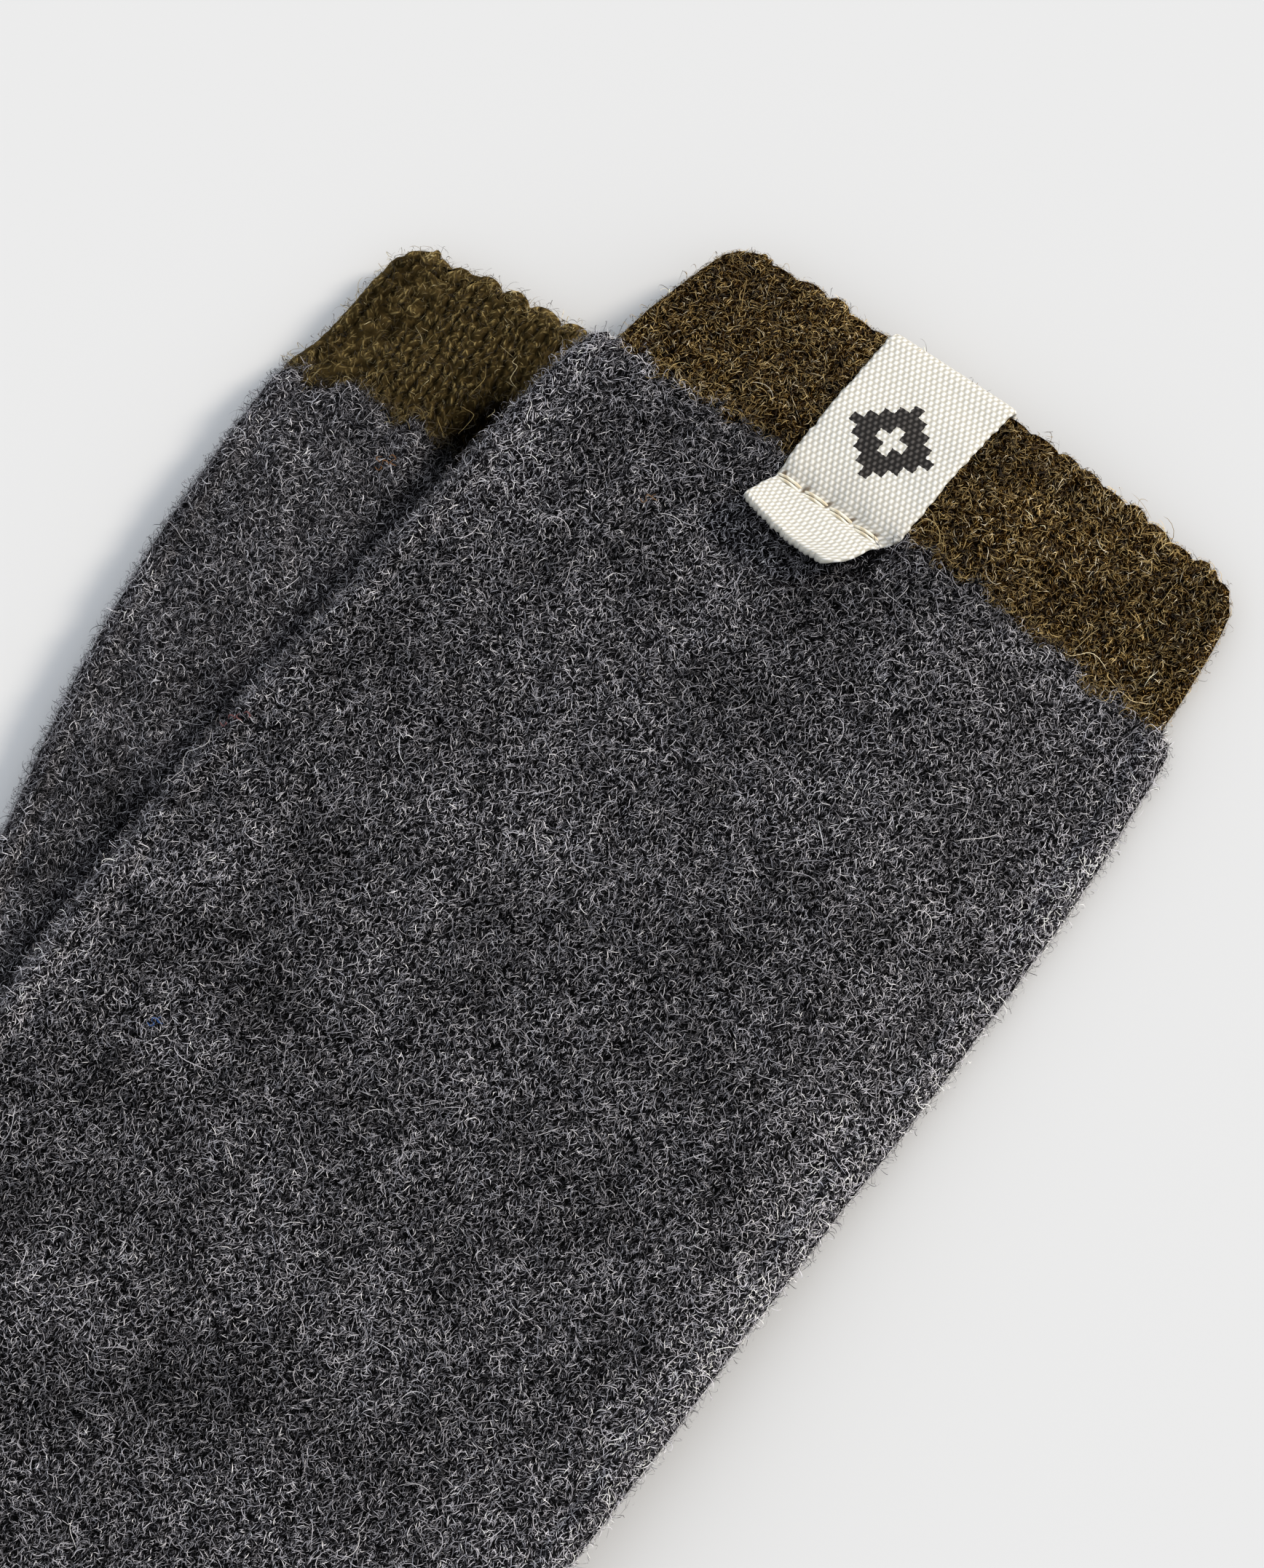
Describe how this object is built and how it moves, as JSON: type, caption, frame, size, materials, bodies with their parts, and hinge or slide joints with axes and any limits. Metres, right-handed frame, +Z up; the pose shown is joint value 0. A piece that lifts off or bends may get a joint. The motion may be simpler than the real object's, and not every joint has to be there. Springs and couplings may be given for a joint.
{
  "type": "pair of long socks",
  "caption": "Knee-length felted wool socks laid flat, one over the other, each with a knitted cuff band and the upper one with a folded tape label.",
  "frame": {"origin": "on the surface that the pair lies on, under the middle of its box", "axes": "+Z up from the surface, +Y up the leg of the upper sock towards its cuff, +X from its calf side to its shin side"},
  "size_m": [0.311, 0.4258, 0.0148],
  "materials": {
    "grey_wool": "matte felted and brushed wool knit, charcoal grey melange",
    "olive_wool": "matte wool knit, dark olive melange",
    "cream_tape": "matte woven cotton tape, natural white"
  },
  "bodies": {
    "root": {"lower_sock_body": "grey_wool", "lower_sock_cuff": "olive_wool", "upper_sock_body": "grey_wool", "upper_sock_cuff": "olive_wool", "upper_sock_label": "cream_tape"}
  },
  "joints": []
}
